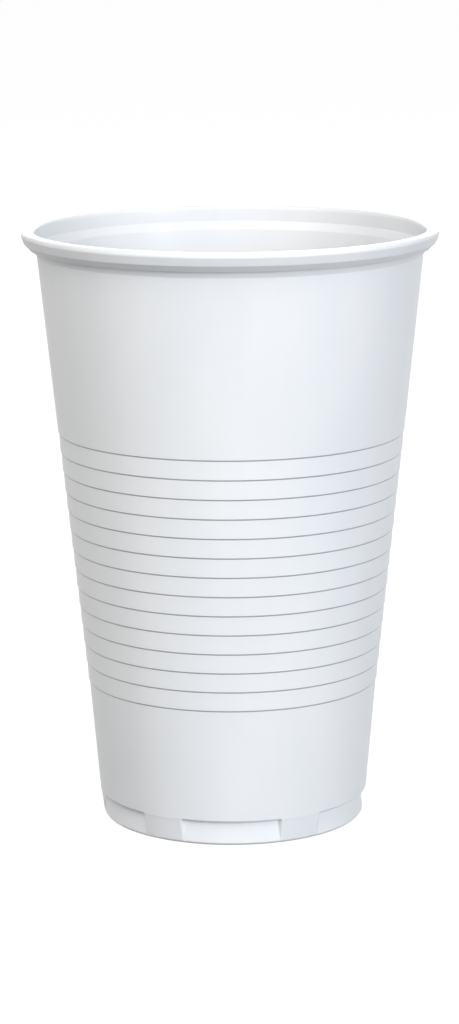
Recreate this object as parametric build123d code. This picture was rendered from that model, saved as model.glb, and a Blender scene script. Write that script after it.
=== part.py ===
from build123d import *
import math
import os

# A thin-walled drinking cup, formed from one sheet of white plastic.
# Millimetres, +Z up, origin on the axis at the plane that the foot stands on.
# Angles round the cup are degrees from the front (-Y) towards +X.

# Overall
height = 101.3              # foot to crown of the rim
rim_radius = 35.15          # outermost point of the rolled rim
wall = 0.3                  # thickness of the sheet
flat_error = 0.1            # bends are made of flats, at most this far off the true round

# Wall: three tapers, the middle one stepped on its outside
foot_height = 4.15          # lower edge of the wall
wall_foot_radius = rim_radius - 12.15
ribs_bottom_height = 23.97  # lowest rib line
ribs_bottom_radius = rim_radius - 10.45
rib_count = 14
rib_pitch = 3.3115
rib_step = 0.15             # how far each rib line's ledge stands out
rib_ledge = 0.2             # height of that ledge
ribs_top_radius = rim_radius - 5.75     # just above the highest rib line
shoulder_height = height - 4.35         # top of the wall, where the shoulder starts
shoulder_radius = rim_radius - 2.6

# Base: a pushed-up floor, inside a ring that the cup stands on
floor_lift = 3.3            # underside of the floor above the standing plane
ring_top_radius = wall_foot_radius - 3.6    # inner flank of the ring, where it meets the floor
ring_inner_radius = wall_foot_radius - 3    # the ring's flat, from here
ring_outer_radius = wall_foot_radius - 1.2  # to here

# Foot: undercut recesses between lugs, below the wall
knee_radius = wall_foot_radius - 0.6        # widest point of the ring
knee_height = 0.7
recess_radius = wall_foot_radius - 1        # undercut, right below the wall
edge_bend = 0.2
lug_width = 18.8            # degrees
lug_inset = 0.06            # the lug's face stands this far inside the wall's
lug_overlap = 0.4           # how far the lug's face runs up behind the wall's edge
lug_spacing = 61.5          # degrees between the three lugs nearest the front
near_lugs = 3
far_lugs = 2                # the rest, spread over what is left of the circle

# Neck and rolled rim
neck_height = height - 3.6
neck_radius = rim_radius - 2.05
neck_flare = 0.15           # how much wider the neck is inside the roll
crown_bend = 0.55           # bend radii are those of the sheet's tight side
lip_bend = 0.4
face_lean = 19              # degrees that the rim's outer face leans in, going down
roll_height = height - 1.97     # where the roll turns under, on the sheet's tight side
tuck_height = height - 2.95     # where the sheet's own edge ends, under the roll
tuck_gap = 0.1              # between that edge and the neck


def unit(start, end):
    """Direction from one corner to the next, as a pair."""
    length = math.hypot(end[0] - start[0], end[1] - start[1])
    return (end[0] - start[0]) / length, (end[1] - start[1]) / length


def shifted(corners, distance):
    """The same run of corners, moved to its left by a distance, with mitred corners."""
    ways = [unit(a, b) for a, b in zip(corners, corners[1:])]
    moved = []
    for i, corner in enumerate(corners):
        u, v = ways[max(i - 1, 0)], ways[min(i, len(ways) - 1)]
        share = distance / (1 + u[0] * v[0] + u[1] * v[1])
        moved.append((corner[0] - share * (u[1] + v[1]), corner[1] + share * (u[0] + v[0])))
    return moved


def flat_corners(radius, turn):
    """A bend's flats, each touching its true round: how many corners they have, how far out."""
    count = 1
    while radius / math.cos(turn / 2 / count) - radius > flat_error:
        count += 1
    return count, radius / math.cos(turn / 2 / count)


def bend(before, corner, after, radius):
    """Corners of the flats that follow a bend of this radius, from one run to the next."""
    u, v = unit(before, corner), unit(corner, after)
    turn = math.atan2(u[0] * v[1] - u[1] * v[0], u[0] * v[0] + u[1] * v[1])
    side = math.copysign(1, turn)
    count, reach = flat_corners(radius, abs(turn))
    back = radius * math.tan(abs(turn) / 2)
    centre_r = corner[0] - u[0] * back - side * radius * u[1]
    centre_z = corner[1] - u[1] * back + side * radius * u[0]
    heading = math.atan2(u[1], u[0]) - side * math.pi / 2
    points = []
    for i in range(count):
        way = heading + turn * (i + 0.5) / count
        points.append((centre_r + reach * math.cos(way), centre_z + reach * math.sin(way)))
    return points


def skin(path, offset):
    """One side of the sheet: the path moved to its left, with a bend at each corner.

    The path holds the radius of each bend's tight side, and the other side's is larger by
    the wall. On a left turn the tight side is the left one, which has an offset.
    """
    corners = shifted([(r, z) for r, z, tight in path], offset)
    points = [corners[0]]
    for i in range(1, len(path) - 1):
        u, v = unit(corners[i - 1], corners[i]), unit(corners[i], corners[i + 1])
        turns_left = u[0] * v[1] > u[1] * v[0]
        tight = path[i][2]
        radius = tight + wall if tight and turns_left != (offset > 0) else tight
        points += bend(corners[i - 1], corners[i], corners[i + 1], radius)
    return points + [corners[-1]]


def turned(section, start, width):
    """The section swept round the cup's axis, from one angle over a width in degrees."""
    return Rot(Z=start - 90) * revolve(Plane.XZ * section, Axis.Z, width)


def base_corners():
    """Outside of the base, from the axis to the wall's lower edge."""
    return [
        (0, floor_lift, 0),
        (ring_top_radius, floor_lift, 0),
        (ring_inner_radius, 0, 0),
        (ring_outer_radius, 0, 0),
        (knee_radius, knee_height, 0),
        (recess_radius, foot_height, 0),
        (wall_foot_radius, foot_height, edge_bend),
    ]


def rib_corners():
    """Corners of the stepped wall, from the lowest rib line to the highest one."""
    rise = ribs_top_radius - ribs_bottom_radius - rib_count * rib_step
    band = rise / (rib_count - 1)
    corners = []
    for i in range(rib_count):
        line_height = ribs_bottom_height + i * rib_pitch
        line_radius = ribs_bottom_radius + i * (band + rib_step)
        corners.append((line_radius, line_height, 0))
        corners.append((line_radius + rib_step, line_height + rib_ledge, 0))
    return corners


def rim_corners():
    """Outside of the shoulder, the neck and the roll, up to the sheet's own edge."""
    under_crown = height - wall
    lean = math.radians(face_lean)
    lip_turn = math.pi / 2 + lean
    lip_reach = flat_corners(lip_bend + wall, lip_turn)[1]
    lip_radius = rim_radius - lip_reach + lip_bend * math.tan(lip_turn / 2)
    roll_radius = lip_radius - (under_crown - roll_height) * math.tan(lean)
    tuck_share = (tuck_height - neck_height) / (under_crown - neck_height)
    tuck_radius = neck_radius + neck_flare * tuck_share + tuck_gap
    return [
        (shoulder_radius, shoulder_height, 0),
        (neck_radius, neck_height, 0),
        (neck_radius + neck_flare, under_crown, crown_bend),
        (lip_radius, under_crown, lip_bend),
        (roll_radius, roll_height, 0),
        (tuck_radius, tuck_height, 0),
    ]


def cup_section():
    """The sheet as it is between two lugs. Its inside follows the ribs' taper, not the ribs."""
    ribs = rib_corners()
    taper_top = (ribs_top_radius - rib_step / 2, ribs[-1][1], 0)
    outside = skin(base_corners() + ribs + rim_corners(), 0)
    inside = skin(base_corners() + ribs[:1] + [taper_top] + rim_corners(), wall)
    return make_face(Polyline(*outside, *reversed(inside), close=True))


def wall_radius(z):
    """Outside radius of the lowest, smooth part of the wall."""
    slope = (ribs_bottom_radius - wall_foot_radius) / (ribs_bottom_height - foot_height)
    return wall_foot_radius + slope * (z - foot_height)


def lug_sections():
    """A lug's solid block, and the hollow that leaves it as thick as the sheet."""
    top = foot_height + lug_overlap
    knee = (knee_radius, knee_height)
    peak = (wall_radius(top) - lug_inset, top)
    knee_inside, peak_inside = shifted([knee, peak], wall)
    half = wall / 2
    block = Polyline(
        knee,
        peak,
        (peak[0] - half, top),
        (peak[0] - half, foot_height + half),
        (recess_radius - half, foot_height + half),
        (knee_radius - half, knee_height),
        close=True,
    )
    open_side = recess_radius - 2 * wall
    over_ledge = foot_height + 2 * wall
    way = unit(knee_inside, peak_inside)
    reach = (over_ledge - knee_inside[1]) / way[1]
    hollow = Polyline(
        knee_inside,
        (knee_inside[0] + way[0] * reach, over_ledge),
        (open_side, over_ledge),
        (open_side, knee_inside[1]),
        close=True,
    )
    return make_face(block), make_face(hollow)


def lug_angles():
    """Middle of each lug. The spacing is uneven, which keeps stacked cups apart."""
    first = -lug_spacing * near_lugs / 2
    near = [first + i * lug_spacing for i in range(near_lugs)]
    gap = (360 - lug_spacing * (near_lugs - 1)) / (far_lugs + 1)
    far = [near[-1] + (i + 1) * gap for i in range(far_lugs)]
    return near + far


def make_cup():
    """The sheet turned round its axis, with the lugs pushed out of its foot."""
    block, hollow = lug_sections()
    side = math.degrees(wall / knee_radius)
    cup = turned(cup_section(), 0, 360)
    for middle in lug_angles():
        cup += turned(block, middle - lug_width / 2, lug_width)
    for middle in lug_angles():
        cup -= turned(hollow, middle - lug_width / 2 + side, lug_width - 2 * side)
    return cup


os.makedirs("parts", exist_ok=True)
export_step(make_cup(), "parts/cup.step")
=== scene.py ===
import bpy
import math
import numpy as np
from mathutils import Matrix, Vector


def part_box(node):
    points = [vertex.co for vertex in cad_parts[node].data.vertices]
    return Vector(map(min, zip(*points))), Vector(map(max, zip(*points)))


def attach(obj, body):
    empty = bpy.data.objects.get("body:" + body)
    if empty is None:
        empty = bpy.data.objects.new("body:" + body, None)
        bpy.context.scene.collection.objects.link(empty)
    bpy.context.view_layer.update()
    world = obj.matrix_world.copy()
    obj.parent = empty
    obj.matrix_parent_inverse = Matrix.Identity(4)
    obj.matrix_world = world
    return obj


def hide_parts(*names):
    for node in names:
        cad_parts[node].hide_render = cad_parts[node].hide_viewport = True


# A thin white plastic drinking cup, formed from one sheet: stepped wall, lugged foot, rolled rim.
# The sheet is drawn in millimetres as a section (r, z), and its mesh is in metres. Angles round
# the cup are degrees from the front (-Y) towards +X. An inset is a distance in from the rim's
# outermost point, and a drop is a distance down from its crown.

MM = 0.001
WALL = 0.3                      # thickness of the sheet

# Base. A name that ends in IN is a distance in from the wall's lower edge
BASE_LIFT = 3.3                 # underside of the pushed-up base, above the standing plane
RING_TOP_IN = 3.6               # where the ring's inner flank meets that base
RING_INNER_IN = 3               # the ring's flat, from here
RING_OUTER_IN = 0.95            # to here
KNEE_IN = 0.6                   # widest point of the ring
KNEE_HEIGHT = 0.4
RECESS_IN = 1                   # undercut between lugs, right below the wall

# Wall
FOOT_HEIGHT = 4.15              # its lower edge
FOOT_INSET = 12.15
RIBS_HEIGHT = 23.97             # lowest rib line
RIBS_INSET = 10.45
RIB_COUNT = 14
RIB_PITCH = 3.3115
RIB_STEP = 0.15                 # how far a rib line's ledge stands out
RIB_LEDGE = 0.25                # height of that ledge
RIBS_TOP_INSET = 5.75           # just above the highest rib line
SHOULDER_DROP = 4.3
SHOULDER_INSET = 2.65

# Neck and rolled rim
NECK_DROP = 2.9
NECK_INSET = 1.92
NECK_TOP_INSET = 1.85           # under the crown
LIP_BEND = 0.4
FACE_LEAN = math.radians(19)    # how far the rim's outer face leans in, going down
ROLL_DROP = 1.97                # where the roll turns under
TUCK_DROP = 2.95                # the sheet's own edge, under the roll
TUCK_INSET = 1.7

# Bend at each corner: its radius outside and inside, and the points of its arc on each side
BASE_BENDS = [(0.7, 0.4, 5, 5), (0.6, 0.3, 5, 5), (0.3, 0.15, 4, 4), (0.3, 0.15, 4, 4)]
RECESS_BENDS = [(0.12, 0.4, 4, 4), (0.45, 0.2, 6, 6)]
LUG_BENDS = [(0.02, 0.02, 4, 4), (0.03, 0.02, 6, 6)]
RIB_BENDS = [(0.03, 0.3, 3, 2), (0.07, 0.3, 3, 2)]
SHOULDER_BENDS = [(0.15, 0.5, 3, 3), (0.3, 0.2, 3, 3)]
RIM_BENDS = [(0.55, 0.85, 8, 9), (LIP_BEND, 0.7, 9, 10), (0.1, 0.4, 4, 4)]
# Painted shade on the rib lines: how dark each point of a ledge's two arcs is painted, where the
# ledge's own shade falls
RIB_PAINTED_SHADE = [0.0, 1.0, 1.0, 0.8, 0.2, 0.0]     # how dark each point of a ledge's two arcs is

# Lugs of the foot, in degrees
LUG_SPACING = 61.5              # between the three lugs nearest the front
NEAR_LUGS = 3
FAR_LUGS = 2                    # the rest, spread over what is left of the circle
LUG_HALF_WIDTH = 9.4
LUG_SIDE = 0.4                  # half of the angle over which a lug's side rises
LUG_RADIUS = 22.4               # millimetres, at a lug's side
LUG_WALL = math.degrees(WALL / LUG_RADIUS)      # the sheet's thickness as an angle
LUG_INSET = 0.06                # millimetres that a lug's face stands inside the wall's

# Mesh
COLUMNS = 250
SIDE_COLUMNS = 12               # extra ones at each side of a lug
LEAST_GAP = 0.1                 # degrees between an even column and an extra one

# Looks
TINT_LOW = (0.75, 0.77, 0.79, 1)
TINT_HIGH = (0.80, 0.81, 0.82, 1)
# Painted shade in the rib lines, standing in for the shade under each ledge
PAINTED_SHADE_COLOUR = (0.10, 0.10, 0.11, 1)
PAINTED_SHADE_SHARE = 0.6              # how far a rib line's painted shade goes to that colour
FLOOR_COLOUR = (0.12, 0.12, 0.12, 1)
FLOOR_GLOW = 0.96               # what lifts the floor to white where it is seen
WORLD_STRENGTH = 0.2
WHITE = (1, 1, 1, 1)

# Floor that the cup stands on, in metres
FLOOR_HALF = 6.0
FLOOR_GAP = 0.05 * MM           # under the foot

# Camera, in millimetres and degrees
CAMERA_DISTANCE = 550.93
CAMERA_HEIGHT = 167.16
CAMERA_AZIMUTH = 0.95
CAMERA_PITCH = 11.763
CAMERA_YAW = -0.04
CAMERA_ROLL = -0.355
CAMERA_LENS = 115.78
CAMERA_FILM = 36                # along the long side of the picture

# Lamps, in metres
LAMP_DISTANCE = 1.2
LAMP_SIZE = 0.9
LAMP_TARGET = 0.05              # height on the cup that they face
STRIP_WIDTH = 0.18


# The section of the sheet


def headings(corners):
    """Unit vectors from each corner to the next."""
    runs = np.diff(corners, axis=0)
    return runs / np.linalg.norm(runs, axis=1, keepdims=True)


def moved_left(corners, distance):
    """The corners moved to the left of their run, with mitred corners.

    A corner between headings u and v moves by distance * (left of u + left of v) / (1 + u.v).
    """
    runs = headings(corners)
    u = np.vstack([runs[:1], runs])
    v = np.vstack([runs, runs[-1:]])
    both = u + v
    left = np.stack([-both[:, 1], both[:, 0]], axis=1)
    return corners + distance * left / (1 + np.sum(u * v, axis=1, keepdims=True))


def bent(corners, radii, counts):
    """Points and right-hand normals of a run with an arc at each corner but the two ends.

    The arc at a corner starts radius * tan(turn / 2) before it. Its point i lies at
    centre + side * radius * n, where n is the right-hand normal of the run's heading
    after a share i / (count - 1) of the turn, and side is 1 for a left turn, -1 for a right one.
    """
    runs = headings(corners)
    u, v = runs[:-1], runs[1:]
    turn = np.arctan2(u[:, 0] * v[:, 1] - u[:, 1] * v[:, 0], np.sum(u * v, axis=1))
    side = np.sign(turn)
    back = (radii * np.tan(np.abs(turn) / 2))[:, None]
    left = np.stack([-u[:, 1], u[:, 0]], axis=1)
    centres = corners[1:-1] - u * back + left * (side * radii)[:, None]
    place = np.repeat(np.arange(len(radii)), counts)
    first = np.repeat(np.cumsum(counts) - counts, counts)
    share = (np.arange(counts.sum()) - first) / (counts[place] - 1)
    angle = np.arctan2(u[:, 1], u[:, 0])[place] + turn[place] * share
    normals = np.stack([np.sin(angle), -np.cos(angle)], axis=1)
    points = centres[place] + normals * (side * radii)[place][:, None]
    ends = np.stack([runs[[0, -1], 1], -runs[[0, -1], 0]], axis=1)
    points = np.vstack([corners[:1], points, corners[-1:]])
    return points, np.vstack([ends[:1], normals, ends[1:]])


def base_corners(foot, lugged):
    """Outside of the base, from the axis to the wall's lower edge at radius foot."""
    return [
        (0, BASE_LIFT),
        (foot - RING_TOP_IN, BASE_LIFT),
        (foot - RING_INNER_IN, 0),
        (foot - RING_OUTER_IN, 0),
        (foot - KNEE_IN, KNEE_HEIGHT),
        (foot - (LUG_INSET if lugged else RECESS_IN), FOOT_HEIGHT),
        (foot, FOOT_HEIGHT),
    ]


def rib_corners(radius):
    """Two corners for each rib line: the foot and the lip of its ledge."""
    line = np.arange(RIB_COUNT)
    climb = (RIBS_INSET - RIBS_TOP_INSET - RIB_COUNT * RIB_STEP) / (RIB_COUNT - 1) + RIB_STEP
    foot = RIBS_HEIGHT - RIB_LEDGE
    low = np.stack([radius - RIBS_INSET + line * climb, foot + line * RIB_PITCH], axis=1)
    return np.stack([low, low + [RIB_STEP, RIB_LEDGE]], axis=1).reshape(-1, 2)


def rim_corners(radius, height):
    """Outside of the shoulder, the neck and the roll, up to the sheet's own edge."""
    under_crown = height - WALL
    roll = height - ROLL_DROP
    lip = radius - WALL - LIP_BEND + LIP_BEND * math.tan((math.pi / 2 + FACE_LEAN) / 2)
    return [
        (radius - SHOULDER_INSET, height - SHOULDER_DROP),
        (radius - NECK_INSET, height - NECK_DROP),
        (radius - NECK_TOP_INSET, under_crown),
        (lip, under_crown),
        (lip - (under_crown - roll) * math.tan(FACE_LEAN), roll),
        (radius - TUCK_INSET, height - TUCK_DROP),
    ]


def sheet_rows(radius, height, lugged):
    """Points, normals and painted shade of the sheet's closed section, and its outside's length.

    It runs from the axis along the outside to the sheet's edge under the rim, and back along
    the inside. The section through a lug has the same rows, so that the two can be mixed.
    """
    foot = radius - FOOT_INSET
    corners = np.vstack([base_corners(foot, lugged), rib_corners(radius), rim_corners(radius, height)])
    foot_bends = BASE_BENDS + (LUG_BENDS if lugged else RECESS_BENDS)
    bends = np.array(foot_bends + RIB_BENDS * RIB_COUNT + SHOULDER_BENDS + RIM_BENDS)
    out_counts, in_counts = bends[:, 2:].astype(int).T
    inner = moved_left(corners, WALL)
    if lugged:
        ledge = 1 + len(BASE_BENDS)
        slope = (FOOT_INSET - RIBS_INSET) / (RIBS_HEIGHT - FOOT_HEIGHT)
        over = FOOT_HEIGHT + WALL
        wall_inside = foot + slope * WALL - WALL
        inner[ledge] = (wall_inside - LUG_INSET, over)
        inner[ledge + 1] = (wall_inside, over + LUG_INSET)
    out_points, out_normals = bent(corners, bends[:, 0], out_counts)
    in_points, in_normals = bent(inner, bends[:, 1], in_counts)
    points = np.vstack([out_points, in_points[::-1]])
    normals = np.vstack([out_normals, -in_normals[::-1]])
    # Painted shade on the rib ledges' arcs only, where their own shade falls
    shade_per_row = np.zeros(len(points))
    first = 1 + out_counts[:len(foot_bends)].sum()
    shade_per_row[first:first + RIB_COUNT * len(RIB_PAINTED_SHADE)] = np.tile(RIB_PAINTED_SHADE, RIB_COUNT)
    return points, normals, shade_per_row, len(out_points)


# The columns round the cup


def lug_angles():
    """Middle of each lug. The spacing is uneven, which keeps stacked cups apart."""
    near = (np.arange(NEAR_LUGS) - NEAR_LUGS / 2) * LUG_SPACING
    gap = (360 - LUG_SPACING * (NEAR_LUGS - 1)) / (FAR_LUGS + 1)
    return np.concatenate([near, near[-1] + gap * np.arange(1, FAR_LUGS + 1)])


def nearest(angles, others):
    """Degrees from each angle to the nearest of the others, either way round."""
    return np.abs((angles[:, None] - others[None, :] + 180) % 360 - 180).min(axis=1)


def lug_share(angles, half_width):
    """How far the sheet is pushed out at each angle: 0 between lugs and 1 on them.

    On a lug's side it climbs as 3t^2 - 2t^3, with t from 0 to 1 across the side.
    """
    apart = nearest(angles, lug_angles())
    t = np.clip((half_width + LUG_SIDE - apart) / (2 * LUG_SIDE), 0, 1)
    return t * t * (3 - 2 * t)


def cup_angles():
    """Even columns round the cup, and closer ones where the sides of the lugs rise."""
    even = np.arange(COLUMNS) * 360 / COLUMNS
    near = np.linspace(-(LUG_WALL + LUG_SIDE), LUG_SIDE, SIDE_COLUMNS)
    middle = lug_angles()[:, None]
    right = middle + LUG_HALF_WIDTH + near
    left = middle - LUG_HALF_WIDTH - near
    close = np.concatenate([right.ravel(), left.ravel()]) % 360
    return np.sort(np.concatenate([even[nearest(even, close) > LEAST_GAP], close]))


# The mesh


def grid_faces(rows, columns):
    """Four-sided faces of a grid closed along its columns, and triangles round two poles.

    Vertex 0 is the first pole, then come the rows, and the last vertex is the other pole.
    """
    i, j = np.meshgrid(np.arange(rows - 1), np.arange(columns), indexing="ij")
    k = (j + 1) % columns
    start = 1 + i * columns
    quads = np.stack([start + j, start + k, start + columns + k, start + columns + j], axis=-1)
    ring = np.arange(columns)
    ahead = (ring + 1) % columns
    last = 1 + (rows - 1) * columns
    pole = np.full(columns, last + columns)
    low = np.stack([np.zeros(columns, int), 1 + ahead, 1 + ring], axis=1)
    high = np.stack([last + ring, last + ahead, pole], axis=1)
    return quads.reshape(-1, 4), np.vstack([low, high])


def mesh_of(name, points, normals, quads, triangles):
    """A mesh from whole arrays, shaded with the surface's own normals."""
    loops = np.concatenate([quads.ravel(), triangles.ravel()])
    sizes = np.concatenate([np.full(len(quads), 4), np.full(len(triangles), 3)])
    mesh = bpy.data.meshes.new(name)
    mesh.vertices.add(len(points))
    mesh.vertices.foreach_set("co", points.astype(np.float32).ravel())
    mesh.loops.add(len(loops))
    mesh.loops.foreach_set("vertex_index", loops.astype(np.int32))
    mesh.polygons.add(len(sizes))
    mesh.polygons.foreach_set("loop_start", (np.cumsum(sizes) - sizes).astype(np.int32))
    mesh.polygons.foreach_set("use_smooth", np.ones(len(sizes), bool))
    mesh.update(calc_edges=True)
    mesh.validate()
    mesh.normals_split_custom_set_from_vertices(normals)
    return mesh


def with_poles(rows):
    """The rows of a grid as one list, where the first and the last row are one entry each."""
    return np.concatenate([rows[0, :1], rows[1:-1].reshape(-1, *rows.shape[2:]), rows[-1, :1]])


def make_cup(radius, height):
    """The sheet turned round its axis, with its foot pushed out at the lugs.

    The point of row s at angle a is (r sin a, -r cos a, z), where (r, z) is the row's point
    between two lugs mixed with its point on a lug by the lug share of a. Its normal is
    (nr, -(nr dr/da + nz dz/da) / r, nz) along the radius, round the cup and up.
    """
    between, between_normals, ledge_shade, outside = sheet_rows(radius, height, False)
    lugged, lugged_normals = sheet_rows(radius, height, True)[:2]
    angles = cup_angles()
    a = np.radians(angles)
    out_share = lug_share(angles, LUG_HALF_WIDTH)
    in_share = lug_share(angles, LUG_HALF_WIDTH - LUG_WALL)
    share = np.where((np.arange(len(between)) < outside)[:, None], out_share, in_share)[..., None]
    section = between[:, None] * (1 - share) + lugged[:, None] * share
    flat = between_normals[:, None] * (1 - share) + lugged_normals[:, None] * share
    ahead, behind = np.roll(section, -1, axis=1), np.roll(section, 1, axis=1)
    spread = (np.roll(a, -1) - np.roll(a, 1)) % (2 * math.pi)
    change = (ahead - behind) / spread[None, :, None]
    r, z = section[..., 0], section[..., 1]
    # Only the two poles have a radius under 1, and nothing changes round them
    round_part = -np.sum(flat * change, axis=-1) / np.maximum(r, 1)
    x = flat[..., 0] * np.sin(a) + round_part * np.cos(a)
    y = -flat[..., 0] * np.cos(a) + round_part * np.sin(a)
    normals = np.stack([x, y, flat[..., 1]], axis=-1)
    normals /= np.linalg.norm(normals, axis=-1, keepdims=True)
    points = np.stack([r * np.sin(a), -r * np.cos(a), z], axis=-1) * MM
    # Painted shade of the rib lines, the same all round the cup
    shade_amount = np.repeat(ledge_shade[:, None], len(angles), axis=1)
    quads, triangles = grid_faces(len(between) - 2, len(angles))
    mesh = mesh_of("cup_sheet", with_poles(points), with_poles(normals), quads, triangles)
    # The painted shade reaches the material through this attribute
    attribute = mesh.attributes.new("ledge_shade", "FLOAT", "POINT")
    attribute.data.foreach_set("value", with_poles(shade_amount).astype(np.float32))
    cup = bpy.data.objects.new("cup_sheet", mesh)
    bpy.context.scene.collection.objects.link(cup)
    return cup


# The materials


def new_material(name):
    """An empty node material, its nodes and its links."""
    material = bpy.data.materials.new(name)
    material.use_nodes = True
    material.node_tree.nodes.clear()
    return material, material.node_tree.nodes, material.node_tree.links


def math_node(nodes, links, operation, first, second):
    """The result of an operation on a socket and on another socket or a number."""
    node = nodes.new("ShaderNodeMath")
    node.operation = operation
    links.new(first, node.inputs[0])
    if isinstance(second, bpy.types.NodeSocket):
        links.new(second, node.inputs[1])
    else:
        node.inputs[1].default_value = second
    return node.outputs["Value"]


def noise(nodes, links, place, scale, detail):
    """A smooth random pattern at a place."""
    node = nodes.new("ShaderNodeTexNoise")
    node.inputs["Scale"].default_value = scale
    node.inputs["Detail"].default_value = detail
    links.new(place, node.inputs["Vector"])
    return node.outputs["Fac"]


def flow_tint(nodes, links, place):
    """White with faint clouds, drawn out upwards as the sheet was."""
    stretch = nodes.new("ShaderNodeMapping")
    stretch.inputs["Scale"].default_value = (1.0, 1.0, 0.35)
    links.new(place, stretch.inputs["Vector"])
    tint = nodes.new("ShaderNodeValToRGB")
    low, high = tint.color_ramp.elements
    low.position, low.color = 0.3, TINT_LOW
    high.position, high.color = 0.7, TINT_HIGH
    links.new(noise(nodes, links, stretch.outputs["Vector"], 70, 3), tint.inputs["Fac"])
    return tint.outputs["Color"]


def shade_rib_lines(nodes, links, tint):
    """The tint with painted shade: darker where the mesh's attribute says that the shade under a rib
    line's ledge falls.
    """
    shade_amount = nodes.new("ShaderNodeAttribute")
    shade_amount.attribute_name = "ledge_shade"
    colour = nodes.new("ShaderNodeMix")
    colour.data_type = "RGBA"
    colour.inputs["B"].default_value = PAINTED_SHADE_COLOUR
    share = math_node(nodes, links, "MULTIPLY", shade_amount.outputs["Fac"], PAINTED_SHADE_SHARE)
    links.new(share, colour.inputs["Factor"])
    links.new(tint, colour.inputs["A"])
    return colour.outputs["Result"]


def fine_surface(nodes, links, place):
    """A fine moulded grain."""
    bump = nodes.new("ShaderNodeBump")
    bump.inputs["Strength"].default_value = 0.04
    bump.inputs["Distance"].default_value = 0.0002
    links.new(noise(nodes, links, place, 900, 2), bump.inputs["Height"])
    return bump.outputs["Normal"]


def white_polystyrene():
    """Glossy white sheet: faint flow clouds, a fine moulded surface, painted shade in the rib lines.
    """
    material, nodes, links = new_material("white_polystyrene")
    output = nodes.new("ShaderNodeOutputMaterial")
    plastic = nodes.new("ShaderNodeBsdfPrincipled")
    plastic.inputs["Roughness"].default_value = 0.36
    plastic.inputs["IOR"].default_value = 1.5
    plastic.inputs["Specular IOR Level"].default_value = 0.35
    plastic.inputs["Subsurface Weight"].default_value = 0.12
    plastic.inputs["Subsurface Radius"].default_value = (1.0, 0.95, 0.9)
    plastic.inputs["Subsurface Scale"].default_value = 0.0012
    links.new(plastic.outputs["BSDF"], output.inputs["Surface"])
    place = nodes.new("ShaderNodeTexCoord").outputs["Object"]
    # The tint, with painted shade in the rib lines
    colour = shade_rib_lines(nodes, links, flow_tint(nodes, links, place))
    links.new(colour, plastic.inputs["Base Color"])
    links.new(fine_surface(nodes, links, place), plastic.inputs["Normal"])
    return material


def seen_directly(nodes, links):
    """1 for the rays that show the background: from the camera, or by way of gloss or glass."""
    path = nodes.new("ShaderNodeLightPath").outputs
    gloss = math_node(nodes, links, "MAXIMUM", path["Is Camera Ray"], path["Is Glossy Ray"])
    return math_node(nodes, links, "MAXIMUM", gloss, path["Is Transmission Ray"])


def pale_floor():
    """White where it is seen, darker where the object's shadow falls."""
    material, nodes, links = new_material("pale_floor")
    output = nodes.new("ShaderNodeOutputMaterial")
    matt = nodes.new("ShaderNodeBsdfDiffuse")
    matt.inputs["Color"].default_value = FLOOR_COLOUR
    glow = nodes.new("ShaderNodeEmission")
    lift = math_node(nodes, links, "MULTIPLY", seen_directly(nodes, links), FLOOR_GLOW)
    links.new(lift, glow.inputs["Strength"])
    both = nodes.new("ShaderNodeAddShader")
    links.new(matt.outputs["BSDF"], both.inputs[0])
    links.new(glow.outputs["Emission"], both.inputs[1])
    links.new(both.outputs["Shader"], output.inputs["Surface"])
    return material


# The set


def lay_floor():
    """A wide level floor just under the foot."""
    half = FLOOR_HALF
    corners = [(-half, -half), (half, -half), (half, half), (-half, half)]
    mesh = bpy.data.meshes.new("floor")
    mesh.from_pydata([(x, y, -FLOOR_GAP) for x, y in corners], [], [(0, 1, 2, 3)])
    floor = bpy.data.objects.new("floor", mesh)
    bpy.context.scene.collection.objects.link(floor)
    mesh.materials.append(pale_floor())


def background(nodes, strength):
    """White light of a strength."""
    node = nodes.new("ShaderNodeBackground")
    node.inputs["Color"].default_value = WHITE
    node.inputs["Strength"].default_value = strength
    return node.outputs["Background"]


def light_world():
    """Even grey light from all round, and plain white where the world itself is seen."""
    world = bpy.data.worlds.new("studio")
    world.use_nodes = True
    bpy.context.scene.world = world
    nodes, links = world.node_tree.nodes, world.node_tree.links
    nodes.clear()
    output = nodes.new("ShaderNodeOutputWorld")
    choose = nodes.new("ShaderNodeMixShader")
    links.new(seen_directly(nodes, links), choose.inputs["Fac"])
    links.new(background(nodes, WORLD_STRENGTH), choose.inputs[1])
    links.new(background(nodes, 1.0), choose.inputs[2])
    links.new(choose.outputs["Shader"], output.inputs["Surface"])


def standing(right, up, back, place):
    """The matrix of an object at a place, from the directions of its own three axes."""
    matrix = np.eye(4)
    matrix[:3] = np.stack([right, up, back, place], axis=1)
    return Matrix(matrix.tolist())


def hang_lamp(name, azimuth, elevation, energy, colour, width=LAMP_SIZE):
    """A soft lamp that faces the middle of the cup."""
    lamp = bpy.data.lights.new(name, "AREA")
    lamp.shape = "RECTANGLE"
    lamp.size = width
    lamp.size_y = LAMP_SIZE
    lamp.energy = energy
    lamp.color = colour
    a, e = math.radians(azimuth), math.radians(elevation)
    way = np.array([math.sin(a) * math.cos(e), -math.cos(a) * math.cos(e), math.sin(e)])
    side = np.array([math.cos(a), math.sin(a), 0])
    holder = bpy.data.objects.new(name, lamp)
    place = np.array([0, 0, LAMP_TARGET]) + way * LAMP_DISTANCE
    holder.matrix_world = standing(side, np.cross(way, side), way, place)
    bpy.context.scene.collection.objects.link(holder)


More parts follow.
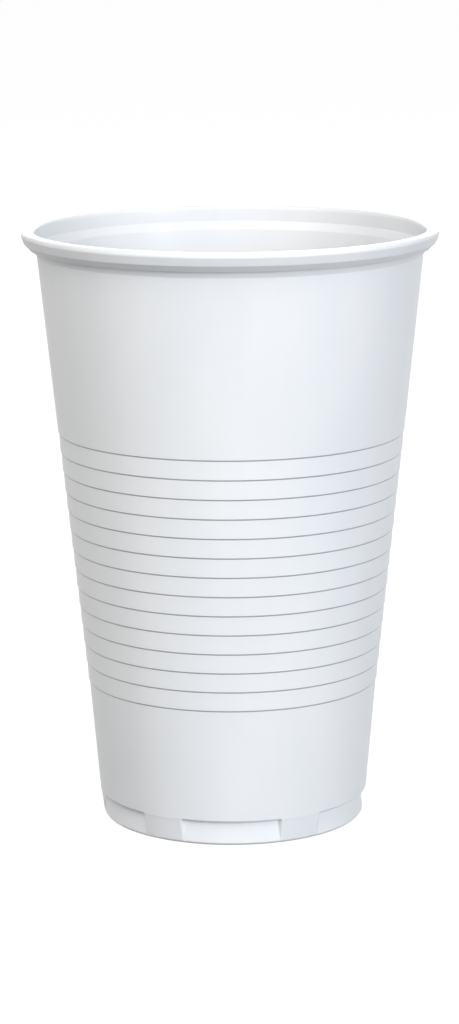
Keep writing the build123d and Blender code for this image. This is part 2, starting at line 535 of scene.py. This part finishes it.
def place_camera():
    """The camera in front of the cup and above it, level but for a small roll."""
    pitch, yaw, roll = (math.radians(v) for v in (CAMERA_PITCH, CAMERA_YAW, CAMERA_ROLL))
    level = math.cos(pitch)
    forward = np.array([math.sin(yaw) * level, math.cos(yaw) * level, -math.sin(pitch)])
    across = np.array([math.cos(yaw), -math.sin(yaw), 0])
    down = np.cross(forward, across)
    right = math.cos(roll) * across - math.sin(roll) * down
    down = math.sin(roll) * across + math.cos(roll) * down
    place = np.array([0, -CAMERA_DISTANCE, CAMERA_HEIGHT]) * MM
    camera = bpy.data.cameras.new("camera")
    camera.sensor_fit = "VERTICAL"
    camera.sensor_height = CAMERA_FILM
    camera.lens = CAMERA_LENS
    camera.clip_end = 50
    holder = bpy.data.objects.new("camera", camera)
    swing = Matrix.Rotation(math.radians(CAMERA_AZIMUTH), 4, "Z")
    holder.matrix_world = swing @ standing(right, -down, -forward, place)
    bpy.context.scene.collection.objects.link(holder)
    bpy.context.scene.camera = holder


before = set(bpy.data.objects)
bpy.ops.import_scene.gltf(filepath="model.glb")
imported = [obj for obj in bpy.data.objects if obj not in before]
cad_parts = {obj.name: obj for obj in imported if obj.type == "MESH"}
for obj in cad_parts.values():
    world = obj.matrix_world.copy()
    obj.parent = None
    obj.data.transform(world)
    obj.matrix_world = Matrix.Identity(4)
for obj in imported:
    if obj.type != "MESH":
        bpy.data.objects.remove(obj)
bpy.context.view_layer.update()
low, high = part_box("cup")
cup = make_cup((high[0] - low[0]) / 2 / MM, high[2] / MM)
cup.data.materials.append(white_polystyrene())
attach(cup, "root")
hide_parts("cup")
lay_floor()
light_world()
hang_lamp("left", -33, 52, 8.0, (1.0, 0.97, 0.92))
hang_lamp("front", -22, 16, 5.8, (0.98, 0.97, 0.97))
hang_lamp("right", 25, 8, 4.4, (0.8, 0.88, 1.0))
hang_lamp("far_right", 75, 6, 2.3, (0.96, 0.96, 1.0))
hang_lamp("strip", 46, 8, 8.8, (0.92, 0.96, 1.0), STRIP_WIDTH)
hang_lamp("back", 180, 22, 11.0, (1.0, 1.0, 1.0))
place_camera()
bpy.context.scene.view_settings.view_transform = "Standard"
